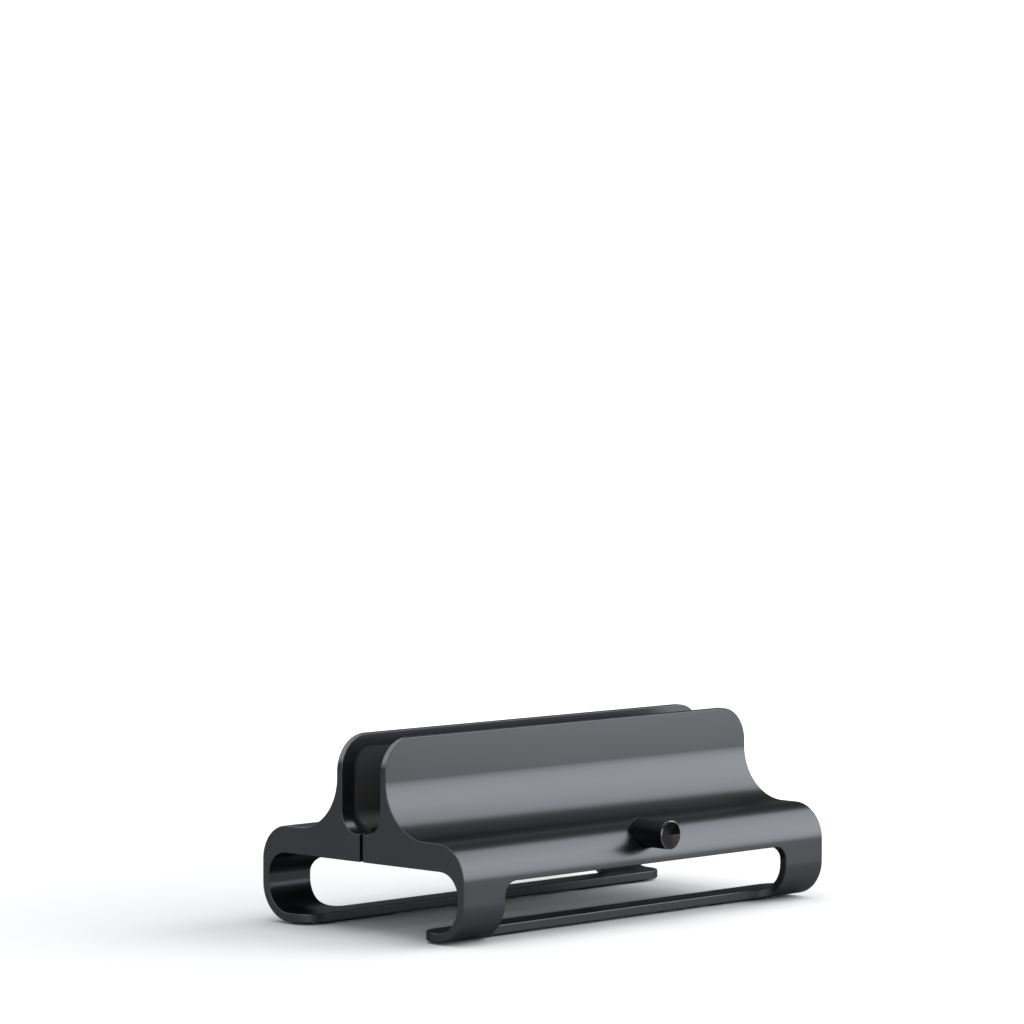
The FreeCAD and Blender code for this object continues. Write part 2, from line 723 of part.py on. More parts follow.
def make_all():
    pieces = [make_front_cradle(), make_rear_cradle()]
    for end, placement in (("front", FRONT), ("rear", REAR)):
        pieces.append(make_liner(f"{end}_liner", placement))
        for side, sign in (("left", -1), ("right", 1)):
            turned = sign if placement is REAR else -sign
            pieces.append(make_foot_pad(f"{end}_{side}_foot_pad", placement, turned))
        pieces.append(make_cover_plate(f"{end}_cover_plate", placement))
        pieces.append(make_cover_screws(f"{end}_cover_screws", placement))
    screw_axis = raised(FRONT, "dims.screw_height")
    pieces += [make_knob(), make_knob_set_screw(), make_lead_screw(), make_travel_nut()]
    pieces.append(make_retaining_clip())
    pieces.append(make_ring("knob_thrust_washer", screw_axis, LOOSE_BORE,
                            "dims.washer_radius", "dims.knob_pocket_floor",
                            "dims.knob_pocket_floor + dims.washer_thickness"))
    pieces.append(make_ring("retaining_washer", screw_axis, LOOSE_BORE,
                            "dims.retaining_washer_radius", CLIP_WASHER_START,
                            "dims.clip_pocket_end"))
    for side, sign in (("left", -1), ("right", 1)):
        across = sign * length("dims.rod_spacing / 2")
        pieces.append(make_guide_rod(f"guide_rod_{side}", across))
        pieces.append(make_ring(f"guide_bush_{side}", raised(FRONT, "dims.rod_height", across),
                                "dims.rod_radius + dims.running_clearance", "dims.bush_radius",
                                "dims.bush_start", "dims.bush_depth"))
    return pieces


def check_and_export(pieces):
    doc.recompute()
    failed = [item.Name for item in doc.Objects
              if "Invalid" in item.State or "Error" in item.State]
    if failed:
        raise RuntimeError(f"features failed: {failed}")
    os.makedirs("parts", exist_ok=True)
    for piece in pieces:
        shape = piece.Shape
        if shape.isNull() or not shape.isValid():
            raise RuntimeError(f"{piece.Label} has no valid shape")
        shape.exportStep(f"parts/{piece.Label}.step")


check_and_export(make_all())
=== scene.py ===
"""Looks for the adjustable vertical laptop dock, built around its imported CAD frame."""

import json
import math

import bmesh
import bpy
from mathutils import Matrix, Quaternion, Vector


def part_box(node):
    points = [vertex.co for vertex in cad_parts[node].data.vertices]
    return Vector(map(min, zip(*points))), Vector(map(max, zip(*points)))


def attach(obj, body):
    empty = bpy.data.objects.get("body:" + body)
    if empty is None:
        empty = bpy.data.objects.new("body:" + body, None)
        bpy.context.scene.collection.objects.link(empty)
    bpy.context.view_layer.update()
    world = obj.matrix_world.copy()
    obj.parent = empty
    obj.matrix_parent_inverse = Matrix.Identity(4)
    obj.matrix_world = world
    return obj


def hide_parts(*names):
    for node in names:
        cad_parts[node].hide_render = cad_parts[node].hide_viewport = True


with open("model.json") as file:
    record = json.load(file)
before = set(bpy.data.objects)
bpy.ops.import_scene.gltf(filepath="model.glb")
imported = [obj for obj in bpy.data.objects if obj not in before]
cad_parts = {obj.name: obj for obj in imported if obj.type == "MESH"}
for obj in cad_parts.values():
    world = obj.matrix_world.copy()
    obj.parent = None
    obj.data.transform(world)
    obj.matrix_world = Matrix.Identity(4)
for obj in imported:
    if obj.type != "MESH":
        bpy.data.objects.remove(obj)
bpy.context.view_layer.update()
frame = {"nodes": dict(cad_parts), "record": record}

MM = 0.001

# ---------------------------------------------------------------- places taken from the frame

KNOB_LOW, KNOB_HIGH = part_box("knob")
FRONT_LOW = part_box("front_cradle")[0]
REAR_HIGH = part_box("rear_cradle")[1]
SLOT_Y = (FRONT_LOW.y + REAR_HIGH.y) / 2
SCREW_X = (KNOB_LOW.x + KNOB_HIGH.x) / 2
SCREW_Z = (KNOB_LOW.z + KNOB_HIGH.z) / 2

# ---------------------------------------------------------------- camera

LENS_MM = 156.9
CLIP_NEAR, CLIP_FAR = 0.05, 50
CAMERA_AZIMUTH = math.radians(45.43)
CAMERA_TILT = math.radians(2.5)
CAMERA_FROM_SLOT = Vector((-1.0881, -1.0547, 0.2018))


def add_camera():
    """A long lens from the front left, tilted a little down."""
    data = bpy.data.cameras.new("camera")
    data.lens = LENS_MM
    data.clip_start = CLIP_NEAR
    data.clip_end = CLIP_FAR
    camera = bpy.data.objects.new("camera", data)
    bpy.context.scene.collection.objects.link(camera)
    camera.location = CAMERA_FROM_SLOT + Vector((0, SLOT_Y, 0))
    camera.rotation_euler = (math.pi / 2 - CAMERA_TILT, 0, -CAMERA_AZIMUTH)
    bpy.context.scene.camera = camera


add_camera()

# ---------------------------------------------------------------- node helpers

NOISE_LOW, NOISE_HIGH = 0.3, 0.7


class Shader:
    """A material under construction, with short ways to add and join nodes."""

    def __init__(self, name, color, metallic=0.0, roughness=0.5):
        self.material = bpy.data.materials.new(name)
        self.material.use_nodes = True
        self.tree = self.material.node_tree
        self.principled = self.tree.nodes["Principled BSDF"]
        self.principled.inputs["Base Color"].default_value = (*color, 1)
        self.principled.inputs["Metallic"].default_value = metallic
        self.principled.inputs["Roughness"].default_value = roughness
        self.color = color

    def add(self, kind, inputs=None, **settings):
        """A new node with its inputs' values and its own settings."""
        node = self.tree.nodes.new(kind)
        for key, value in settings.items():
            setattr(node, key, value)
        for key, value in (inputs or {}).items():
            node.inputs[key].default_value = value
        return node

    def join(self, output, socket):
        self.tree.links.new(output, socket)

    def place(self, scale):
        """Object coordinates multiplied by a scale along each axis."""
        coordinates = self.add("ShaderNodeTexCoord")
        mapping = self.add("ShaderNodeMapping", {"Scale": scale})
        self.join(coordinates.outputs["Object"], mapping.inputs["Vector"])
        return mapping.outputs["Vector"]

    def noise(self, scale, detail=3, roughness=0.6, stretch=(1, 1, 1)):
        """Cloudy noise from 0 to 1, mostly between NOISE_LOW and NOISE_HIGH."""
        node = self.add("ShaderNodeTexNoise",
                        {"Scale": scale, "Detail": detail, "Roughness": roughness})
        self.join(self.place(stretch), node.inputs["Vector"])
        return node.outputs["Fac"]

    def remap(self, value, low, high, to_low, to_high):
        """Carries one range over to another, and holds it at both ends."""
        node = self.add("ShaderNodeMapRange", {
            "From Min": low, "From Max": high, "To Min": to_low, "To Max": to_high})
        self.join(value, node.inputs["Value"])
        return node.outputs["Result"]

    def spread(self, noise, to_low, to_high):
        """Carries a noise's usual range over to another one."""
        return self.remap(noise, NOISE_LOW, NOISE_HIGH, to_low, to_high)

    def calculate(self, operation, first, second):
        """One sum or product of two numbers or outputs."""
        node = self.add("ShaderNodeMath", operation=operation)
        for socket, value in zip(node.inputs, (first, second)):
            if isinstance(value, (int, float)):
                socket.default_value = value
            else:
                self.join(value, socket)
        return node.outputs["Value"]

    def tint(self, factor):
        """Multiplies the base colour by a factor."""
        node = self.add("ShaderNodeVectorMath", operation="SCALE")
        node.inputs[0].default_value = self.color
        self.join(factor, node.inputs["Scale"])
        self.join(node.outputs["Vector"], self.principled.inputs["Base Color"])

    def bump(self, height, distance, strength=1.0):
        node = self.add("ShaderNodeBump", {"Distance": distance, "Strength": strength})
        self.join(height, node.inputs["Height"])
        self.join(node.outputs["Normal"], self.principled.inputs["Normal"])

    def roughness(self, value):
        self.join(value, self.principled.inputs["Roughness"])


# ---------------------------------------------------------------- materials

METAL_UNEVENNESS = 0.06
ALONG_Y, ALONG_Z, ALONG_X = (1, 0.02, 1), (1, 1, 0.05), (0.05, 1, 1)

# Painted highlight and shade on the spun face, clockwise from its right, as shares of a turn and
# brightness.
PAINTED_HIGHLIGHT_LOWER_HALF = (0, 0.5, 2.1, 0.8)
PAINTED_SHADE_UPPER_RIGHT = (0.80, 0.88, 1, 0.22)
PAINTED_NARROW_GLINT = (0, 0.02, 2.5, 0)


def anodised():
    """Satin space-grey anodising over a drawn section: fine grain along X."""
    shader = Shader("anodised_aluminium", (0.1135, 0.1178, 0.1265), 0.96, 0.30)
    grain = shader.noise(scale=900, stretch=(0.02, 1, 1))
    cloud = shader.noise(scale=30, roughness=0.5, stretch=(0.3, 1, 1))
    speck = shader.noise(scale=5200, detail=2)
    shader.principled.inputs["Specular Tint"].default_value = (0.5, 0.5, 0.5, 1)
    shader.roughness(shader.calculate("ADD", shader.spread(grain, 0.287, 0.307),
                                      shader.spread(speck, -0.006, 0.006)))
    shader.tint(shader.calculate("ADD", shader.spread(grain, 0.97, 1.01),
                                 shader.spread(cloud, -0.015, 0.015)))
    relief = shader.calculate("ADD", grain, shader.calculate("MULTIPLY", speck, 0.6))
    shader.bump(relief, distance=0.008 * MM, strength=0.14)
    return shader.material


def silicone():
    """Matt black silicone with a fine mist of lighter specks."""
    shader = Shader("silicone", (0.0205, 0.0212, 0.023), 0.0, 0.62)
    mist = shader.noise(scale=4000)
    cloud = shader.noise(scale=60, roughness=0.5)
    shader.roughness(shader.spread(cloud, 0.56, 0.68))
    shader.tint(shader.spread(mist, 0.85, 1.2))
    shader.bump(mist, distance=0.02 * MM, strength=0.4)
    return shader.material


def plain_metal(name, color, roughness, stretch):
    """Ground or turned metal, with its marks drawn out along one axis."""
    shader = Shader(name, color, 1.0, roughness)
    marks = shader.noise(scale=2500, stretch=stretch)
    shader.roughness(shader.spread(marks, roughness - METAL_UNEVENNESS, roughness + METAL_UNEVENNESS))
    shader.tint(shader.spread(marks, 0.93, 1.05))
    shader.bump(marks, distance=0.01 * MM, strength=0.3)
    return shader.material


def spun_face_painted_glints():
    """Black anodising over a face turned in fine rings, with painted highlights and painted shade in
    wedges about its middle.
    """
    shader = Shader("spun_face_painted_glints", (0.018, 0.0182, 0.0195), 1.0, 0.34)
    shader.principled.inputs["Anisotropic"].default_value = 0.8
    tangent = shader.add("ShaderNodeTangent", direction_type="RADIAL", axis="Y")
    shader.join(tangent.outputs["Tangent"], shader.principled.inputs["Tangent"])
    coordinates = shader.add("ShaderNodeTexCoord")
    faced = shader.add("ShaderNodeMapping", {
        "Location": (SCREW_X, -SCREW_Z, 0), "Rotation": (-math.pi / 2, 0, 0), "Scale": (-1, 1, 1)})
    shader.join(coordinates.outputs["Object"], faced.inputs["Vector"])
    round_middle = shader.add("ShaderNodeTexGradient", gradient_type="RADIAL")
    shader.join(faced.outputs["Vector"], round_middle.inputs["Vector"])
    turn = round_middle.outputs["Fac"]
    # Painted highlights and painted shade: bright and dark wedges by angle round the face's middle,
    # multiplied into the base colour.
    painted_broad_highlight = shader.calculate("MULTIPLY", shader.remap(turn, *PAINTED_HIGHLIGHT_LOWER_HALF),
                             shader.remap(turn, *PAINTED_SHADE_UPPER_RIGHT))
    painted_glint_pattern = shader.calculate("ADD", painted_broad_highlight, shader.remap(turn, *PAINTED_NARROW_GLINT))
    wear = shader.noise(scale=3000)
    shader.tint(shader.calculate("MULTIPLY", painted_glint_pattern, shader.spread(wear, 0.9, 1.1)))
    shader.roughness(shader.spread(wear, 0.33, 0.39))
    return shader.material


def powder_coat():
    """Black powder coat with a slight orange peel."""
    shader = Shader("black_steel", (0.035, 0.035, 0.036), 0.0, 0.5)
    peel = shader.noise(scale=1500)
    shader.roughness(shader.spread(peel, 0.42, 0.55))
    shader.tint(shader.spread(peel, 0.9, 1.15))
    shader.bump(peel, distance=0.04 * MM, strength=0.4)
    return shader.material


def acetal(name, color):
    """Machined acetal, almost even in colour."""
    shader = Shader(name, color, 0.0, 0.42)
    cloud = shader.noise(scale=200, roughness=0.5)
    shader.roughness(shader.spread(cloud, 0.36, 0.48))
    shader.tint(shader.spread(cloud, 0.96, 1.02))
    shader.bump(cloud, distance=0.01 * MM, strength=0.2)
    return shader.material


MATERIALS = {
    "anodised_aluminium": anodised(),
    "knob_aluminium": plain_metal("knob_aluminium", (0.020, 0.0205, 0.024), 0.40, ALONG_Y),
    "silicone": silicone(),
    "black_steel": powder_coat(),
    "dark_fastener": plain_metal("dark_fastener", (0.07, 0.07, 0.072), 0.35, ALONG_Z),
    "bright_steel": plain_metal("bright_steel", (0.60, 0.60, 0.61), 0.24, ALONG_Y),
    "brass": plain_metal("brass", (0.72, 0.53, 0.24), 0.30, ALONG_X),
    "acetal": acetal("acetal", (0.80, 0.79, 0.76)),
    "black_acetal": acetal("black_acetal", (0.012, 0.012, 0.013)),
}

RECORD = frame["record"]
SLOT_OF = {part["node"]: part["material_slot"] for part in RECORD["subparts"]}
BODY_OF = {node: body for body, nodes in RECORD["behaviour"]["bodies"].items() for node in nodes}
SPUN_FACE_PAINTED_GLINTS = spun_face_painted_glints()
CUT_EDGE = plain_metal("cut_edge", (0.19, 0.19, 0.20), 0.24, ALONG_Y)


def paint(piece, name):
    """Gives a piece one of the named materials and no other."""
    piece.data.materials.clear()
    piece.data.materials.append(MATERIALS[name])


for node, slot in SLOT_OF.items():
    paint(frame["nodes"][node], slot)

# ---------------------------------------------------------------- mesh helpers

SHARP = math.radians(32)
COPLANAR = math.radians(1)
WELD = 0.0005 * MM
FLATNESS = 0.0001
SOFT_EDGE_STEPS = 2
MOULDED_EDGE_STEPS = 3
BEVEL_WIDTH = 0.45 * MM
BEVEL_BLEND = math.radians(50)
TANGENT_BLEND = math.radians(6)
QUARTER = math.pi / 2


def show(mesh, name, node):
    """Turns a bmesh into a piece that is seen in place of a CAD node and moves with its body."""
    bmesh.ops.recalc_face_normals(mesh, faces=mesh.faces)
    data = bpy.data.meshes.new(name)
    mesh.to_mesh(data)
    mesh.free()
    data.shade_smooth()
    data.set_sharp_from_angle(angle=SHARP)
    piece = bpy.data.objects.new(name, data)
    bpy.context.scene.collection.objects.link(piece)
    paint(piece, SLOT_OF[node])
    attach(piece, BODY_OF[node])
    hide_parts(node)
    return piece


def round_over(mesh, width, steps):
    """Rounds every sharp edge of a bmesh."""
    sharp = [edge for edge in mesh.edges if edge.is_manifold and edge.calc_face_angle(0) > SHARP]
    bmesh.ops.bevel(mesh, geom=sharp, offset=width, segments=steps, profile=0.5,
                    affect="EDGES", clamp_overlap=True)


def soften(node, name, width):
    """The node's own shape with its sharp edges rounded over."""
    mesh = bmesh.new()
    mesh.from_mesh(frame["nodes"][node].data)
    bmesh.ops.remove_doubles(mesh, verts=mesh.verts, dist=WELD)
    bmesh.ops.dissolve_limit(mesh, angle_limit=COPLANAR, verts=mesh.verts, edges=mesh.edges)
    round_over(mesh, width, SOFT_EDGE_STEPS)
    show(mesh, name, node)


def corner_width(face):
    """The height of a face over its longest edge, near enough."""
    return 2 * face.calc_area() / max(edge.calc_length() for edge in face.edges) / (len(face.verts) - 2)


def blended_normal(face, vertex, layer, bevels):
    """A corner's normal: that of the flat or curved face which runs into it there, if any does."""
    own = face.normal
    if is_flat(face):
        return own
    around = [(other, loop[layer]) for other in vertex.link_faces for loop in other.loops
              if loop.vert is vertex and other not in bevels]
    if face in bevels:
        found = [normal for _, normal in around if normal.angle(own) < BEVEL_BLEND]
    else:
        found = [normal for other, normal in around
                 if is_flat(other) and normal.angle(own) < TANGENT_BLEND]
    return sum(found, Vector()).normalized() if found else None


def is_flat(face):
    """Whether a face is square to one of the axes."""
    return max(abs(part) for part in face.normal) > 1 - FLATNESS


def refine(node, name):
    """The node's own shape in one skin, its shading smooth over bends and bevels alike."""
    source = frame["nodes"][node].data
    mesh = bmesh.new()
    mesh.from_mesh(source)
    layer = mesh.loops.layers.float_vector.new("corner_normal")
    for face, polygon in zip(mesh.faces, source.polygons):
        for loop, index in zip(face.loops, polygon.loop_indices):
            loop[layer] = source.corner_normals[index].vector
    bmesh.ops.remove_doubles(mesh, verts=mesh.verts, dist=WELD)
    mesh.normal_update()
    bevels = {face for face in mesh.faces if not is_flat(face) and corner_width(face) < BEVEL_WIDTH}
    for chosen in (set(mesh.faces) - bevels, bevels):
        blended = [(loop, blended_normal(face, loop.vert, layer, bevels))
                   for face in chosen for loop in face.loops]
        for loop, normal in blended:
            if normal:
                loop[layer] = normal
    piece = show(mesh, name, node)
    kept = piece.data.attributes["corner_normal"]
    normals = [Vector(item.vector) for item in kept.data]
    piece.data.attributes.remove(kept)
    piece.data.set_sharp_from_angle(angle=math.pi)
    piece.data.normals_split_custom_set(normals)


def join_rings(mesh, first, second):
    """Faces between two rings of equally many points, or between a ring and a single point."""
    count = max(len(first), len(second))
    for step in range(count):
        after = step + 1
        corners = [first[step % len(first)], first[after % len(first)],
                   second[after % len(second)], second[step % len(second)]]
        mesh.faces.new(list(dict.fromkeys(corners)))


def add_loft(mesh, rings):
    """A closed solid through rings of points, each end a flat face or a single point."""
    loops = [[mesh.verts.new(point) for point in ring] for ring in rings]
    for first, second in zip(loops, loops[1:]):
        join_rings(mesh, first, second)
    for end in (loops[0], loops[-1]):
        if len(end) > 1:
            mesh.faces.new(end)


def arc(centre, radius, start, end, steps):
    """Points on an arc in a plane, from one angle to another."""
    turns = [start + (end - start) * step / steps for step in range(steps + 1)]
    return [(centre[0] + radius * math.cos(turn), centre[1] + radius * math.sin(turn))
            for turn in turns]


# ---------------------------------------------------------------- knob

KNOB_RADIUS = (KNOB_HIGH.x - KNOB_LOW.x) / 2
KNOB_TEETH = 72
TOOTH = (1, 0, 0, 1)  # crest 0, bottom of the groove 1
KNOB_STEPS = KNOB_TEETH * len(TOOTH)
KNURL_DEPTH = 0.16 * MM
KNOB_EDGE = 0.3 * MM
KNOB_RIM = KNOB_RADIUS - KNOB_EDGE
KNOB_DISH = 0.3 * MM
KNOB_COLLAR = 0.7 * MM
FACE_RINGS = 20
FACE_RIPPLE = 0.006 * MM
BORE_RADIUS = 2.0 * MM
BORE_DEPTH = 10.0 * MM
BORE_EDGE = 0.2 * MM
DRILL_STEPS = 48
DRILL_OVERRUN = 1.0 * MM
SLIVER = 0.002 * MM
SIDE_SLOT, FACE_SLOT, EDGE_SLOT = 0, 1, 2


def screw_ring(radius, y, depth=0.0):
    """Points round the screw's axis, with the knurl's grooves to the given depth."""
    points = []
    for step in range(KNOB_STEPS):
        turn = 2 * math.pi * step / KNOB_STEPS
        reach = radius - depth * TOOTH[step % len(TOOTH)]
        points.append((SCREW_X + reach * math.sin(turn), y, SCREW_Z + reach * math.cos(turn)))
    return points


def knob_profile():
    """The knob's rings from the bottom of its bore, over the outside, to the middle of its face."""
    back, front = KNOB_HIGH.y, KNOB_LOW.y
    bore_end = back - BORE_DEPTH
    run_out = KNURL_DEPTH
    rings = [
        [(SCREW_X, bore_end, SCREW_Z)],
        screw_ring(BORE_RADIUS, bore_end),
        screw_ring(BORE_RADIUS, back - BORE_EDGE),
        screw_ring(BORE_RADIUS + BORE_EDGE, back),
        screw_ring(KNOB_RADIUS - BORE_EDGE, back),
        screw_ring(KNOB_RADIUS, back - BORE_EDGE),
        screw_ring(KNOB_RADIUS, back - KNOB_COLLAR),
        screw_ring(KNOB_RADIUS, back - KNOB_COLLAR - run_out, KNURL_DEPTH),
        screw_ring(KNOB_RADIUS, front + KNOB_EDGE + KNOB_COLLAR + run_out, KNURL_DEPTH),
        screw_ring(KNOB_RADIUS, front + KNOB_EDGE + KNOB_COLLAR),
        screw_ring(KNOB_RADIUS, front + KNOB_EDGE),
        screw_ring(KNOB_RIM, front),
    ]
    for step in range(1, FACE_RINGS):
        share = step / FACE_RINGS
        ripple = FACE_RIPPLE * (step % 2)
        rings.append(screw_ring(KNOB_RIM * (1 - share), front + KNOB_DISH * share + ripple))
    rings.append([(SCREW_X, front + KNOB_DISH, SCREW_Z)])
    return rings


def knob_finish(place):
    """Which of the knob's three finishes is at a place on it."""
    radius = math.hypot(place.x - SCREW_X, place.z - SCREW_Z)
    if place.y < KNOB_LOW.y + KNOB_DISH + FACE_RIPPLE and radius < KNOB_RIM:
        return FACE_SLOT
    if place.y < KNOB_LOW.y + KNOB_EDGE and radius > KNOB_RIM:
        return EDGE_SLOT
    return SIDE_SLOT


def apply_modifiers(piece):
    """Puts a piece's modifiers into its mesh."""
    bpy.context.view_layer.update()
    finished = piece.evaluated_get(bpy.context.evaluated_depsgraph_get())
    data = bpy.data.meshes.new_from_object(finished)
    data.name = piece.name
    piece.modifiers.clear()
    piece.data = data


def weld_slivers(piece):
    """Joins the points that a cut has left almost on top of each other."""
    mesh = bmesh.new()
    mesh.from_mesh(piece.data)
    bmesh.ops.remove_doubles(mesh, verts=mesh.verts, dist=SLIVER)
    mesh.to_mesh(piece.data)
    mesh.free()


def drill_for_set_screw(knob):
    """The tapped hole for the set screw, up from below into the bore."""
    low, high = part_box("knob_set_screw")
    mesh = bmesh.new()
    radius = (high.x - low.x) / 2
    middle = ((low.x + high.x) / 2, (low.y + high.y) / 2)
    circle = arc(middle, radius, 0, 2 * math.pi, DRILL_STEPS)[:-1]
    ends = (low.z - DRILL_OVERRUN, SCREW_Z - DRILL_OVERRUN)
    add_loft(mesh, [[(x, y, z) for x, y in circle] for z in ends])
    bmesh.ops.recalc_face_normals(mesh, faces=mesh.faces)
    data = bpy.data.meshes.new("set_screw_drill")
    mesh.to_mesh(data)
    mesh.free()
    drill = bpy.data.objects.new("set_screw_drill", data)
    bpy.context.scene.collection.objects.link(drill)
    cut = knob.modifiers.new("set_screw_hole", "BOOLEAN")
    cut.operation = "DIFFERENCE"
    cut.solver = "EXACT"
    cut.object = drill
    apply_modifiers(knob)
    bpy.data.objects.remove(drill)


def make_knob():
    """The knurled knob, with its bore, its set screw's hole and its three finishes."""
    mesh = bmesh.new()
    add_loft(mesh, knob_profile())
    knob = show(mesh, "knurled_knob", "knob")
    drill_for_set_screw(knob)
    weld_slivers(knob)
    knob.data.materials.append(SPUN_FACE_PAINTED_GLINTS)
    knob.data.materials.append(CUT_EDGE)
    for polygon in knob.data.polygons:
        polygon.material_index = knob_finish(polygon.center)


make_knob()

# ---------------------------------------------------------------- lead screw

SPINDLE_LOW, SPINDLE_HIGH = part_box("lead_screw")
CLIP_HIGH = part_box("retaining_clip")[1]
WASHER_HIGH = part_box("retaining_washer")[1]
THRUST_WASHER_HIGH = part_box("knob_thrust_washer")[1]
PITCH = 1.0 * MM
THREAD_DEPTH = 0.5 * MM
THREAD_STEPS = 40
THREAD_FORM = (0, 0, 0, 0.5, 1, 1, 1, 0.5)  # crest 0, root 1
THREAD_FROM_SLOT = 9.0 * MM
THREAD_FADE = 2.0 * MM
TURNS_BEFORE, TURNS_AFTER = 2, 3
SPINDLE_RADIUS = 2.0 * MM
SPINDLE_EDGE = 0.4 * MM
GROOVE_RADIUS = 1.6 * MM
GROOVE_PLAY = 0.05 * MM
SHANK_PAINTED_DARK = 8.0 * MM


def thread_radius(y, form):
    """The threaded stretch's radius: full form behind, fading out before the plain shank."""
    shank = SLOT_Y - THREAD_FROM_SLOT
    fade = min(max((y - shank) / THREAD_FADE, 0), 1)
    radius = SPINDLE_RADIUS - THREAD_DEPTH * form * fade
    return min(radius, SPINDLE_RADIUS - SPINDLE_EDGE + max(SPINDLE_HIGH.y - y, 0))


def add_thread(mesh):
    """A right-hand thread, its rows of points following the helix a little past both ends."""
    per_turn = len(THREAD_FORM)
    start = SLOT_Y - THREAD_FROM_SLOT - TURNS_BEFORE * PITCH
    rows = round((SPINDLE_HIGH.y - start) / PITCH * per_turn) + TURNS_AFTER * per_turn
    grid = []
    for row in range(rows):
        points = []
        for step in range(THREAD_STEPS):
            share = step / THREAD_STEPS
            y = start + PITCH * (row / per_turn + share)
            radius = thread_radius(y, THREAD_FORM[row % per_turn])
            turn = 2 * math.pi * share
            points.append(mesh.verts.new((SCREW_X + radius * math.sin(turn), y,
                                          SCREW_Z + radius * math.cos(turn))))
        grid.append(points)
    for row in range(rows - 1):
        for step in range(THREAD_STEPS - 1):
            mesh.faces.new((grid[row][step], grid[row][step + 1],
                            grid[row + 1][step + 1], grid[row + 1][step]))
    for row in range(rows - 1 - per_turn):
        mesh.faces.new((grid[row][-1], grid[row + per_turn][0],
                        grid[row + per_turn + 1][0], grid[row + 1][-1]))


def trim(mesh, y, side):
    """Cuts a bmesh square at a place on the Y axis and returns the open edges that this leaves."""
    everything = list(mesh.verts) + list(mesh.edges) + list(mesh.faces)
    bmesh.ops.bisect_plane(mesh, geom=everything, dist=WELD, plane_co=(0, y, 0),
                           plane_no=(0, side, 0), clear_outer=True)
    return [edge for edge in mesh.edges
            if edge.is_boundary and all(abs(vertex.co.y - y) < WELD for vertex in edge.verts)]


def turn_on(mesh, edges, profile):
    """Carries a turned shape on from its open edges, through rings of (radius, y), to a flat end."""
    ring = sorted({vertex for edge in edges for vertex in edge.verts},
                  key=lambda vertex: math.atan2(vertex.co.x - SCREW_X, vertex.co.z - SCREW_Z))
    for radius, y in profile:
        grown = []
        for vertex in ring:
            away = Vector((vertex.co.x - SCREW_X, 0, vertex.co.z - SCREW_Z)).normalized()
            grown.append(mesh.verts.new(Vector((SCREW_X, y, SCREW_Z)) + away * radius))
        join_rings(mesh, ring, grown)
        ring = grown
    mesh.faces.new(ring)


def make_lead_screw():
    """The threaded spindle, with a groove for its clip and washer, and its front end given the dark
    fastener material as painted shade in the gap by the knob.
    """
    mesh = bmesh.new()
    add_thread(mesh)
    rear = trim(mesh, SPINDLE_HIGH.y, 1)
    bmesh.ops.holes_fill(mesh, edges=rear)
    shank = trim(mesh, SLOT_Y - THREAD_FROM_SLOT, -1)
    groove_end = CLIP_HIGH.y + GROOVE_PLAY
    profile = [
        (SPINDLE_RADIUS, groove_end),
        (GROOVE_RADIUS, groove_end),
        (GROOVE_RADIUS, WASHER_HIGH.y),
        (SPINDLE_RADIUS, WASHER_HIGH.y),
        (SPINDLE_RADIUS, SPINDLE_LOW.y),
    ]
    turn_on(mesh, shank, profile)
    screw = show(mesh, "threaded_lead_screw", "lead_screw")
    screw.data.materials.append(MATERIALS["dark_fastener"])
    for polygon in screw.data.polygons:
        # Painted shade: the front of the shank, in the gap by the knob, gets the dark fastener material
        # instead of bright steel.
        polygon.material_index = int(polygon.center.y < THRUST_WASHER_HIGH.y + SHANK_PAINTED_DARK)


make_lead_screw()

# ---------------------------------------------------------------- liners and foot pads

LINER_WALL = 1.25 * MM
LINER_FLOOR = 1.6 * MM
LINER_BACK_CURVE = 7.0 * MM
LINER_FRONT_CURVE = 5.6 * MM
LINER_CORNER = 6.1 * MM
LINER_EDGE = 0.3 * MM
PAD_EDGE = 0.5 * MM
PAD_TOP_EDGE = 0.15 * MM
CURVE_STEPS = 14
TREAD_STEPS = 5


def liner_section(edge, back, low, top):
    """A liner's outline, as (distance from the slot's middle, height) pairs."""
    floor = low + LINER_FLOOR
    wall = back - LINER_WALL
    outside = arc((back - LINER_BACK_CURVE, low + LINER_BACK_CURVE), LINER_BACK_CURVE,
                  -QUARTER, 0, CURVE_STEPS)
    inside = arc((wall - LINER_FRONT_CURVE, floor + LINER_FRONT_CURVE), LINER_FRONT_CURVE,
                 0, -QUARTER, CURVE_STEPS)
    return [(edge, low)] + outside + [(back, top), (wall, top)] + inside + [(edge, floor)]


def make_liner(end):
    """One silicone moulding that lines the floor and wall of half the slot."""
    node = f"{end}_liner"
    low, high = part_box(node)
    reaches = sorted(abs(y - SLOT_Y) for y in (low.y, high.y))
    side = 1 if high.y - SLOT_Y > SLOT_Y - low.y else -1
    corner = arc((low.x + LINER_CORNER, high.z - LINER_CORNER), LINER_CORNER,
                 math.pi, QUARTER, CURVE_STEPS)
    stations = corner + [(low.x + high.x - x, top) for x, top in reversed(corner)]
    rings = [[(x, SLOT_Y + side * reach, z) for reach, z in liner_section(*reaches, low.z, top)]
             for x, top in stations]
    mesh = bmesh.new()
    add_loft(mesh, rings)
    round_over(mesh, LINER_EDGE, MOULDED_EDGE_STEPS)
    show(mesh, f"{end}_slot_liner", node)


def strip_ring(low, high, inset, z):
    """A strip's outline with half-round ends, at one height."""
    middle_y = (low.y + high.y) / 2
    radius = (high.y - low.y) / 2
    right = arc((high.x - radius, middle_y), radius - inset, -QUARTER, QUARTER, 2 * CURVE_STEPS)
    left = arc((low.x + radius, middle_y), radius - inset, QUARTER, 3 * QUARTER, 2 * CURVE_STEPS)
    return [(x, y, z) for x, y in right + left]


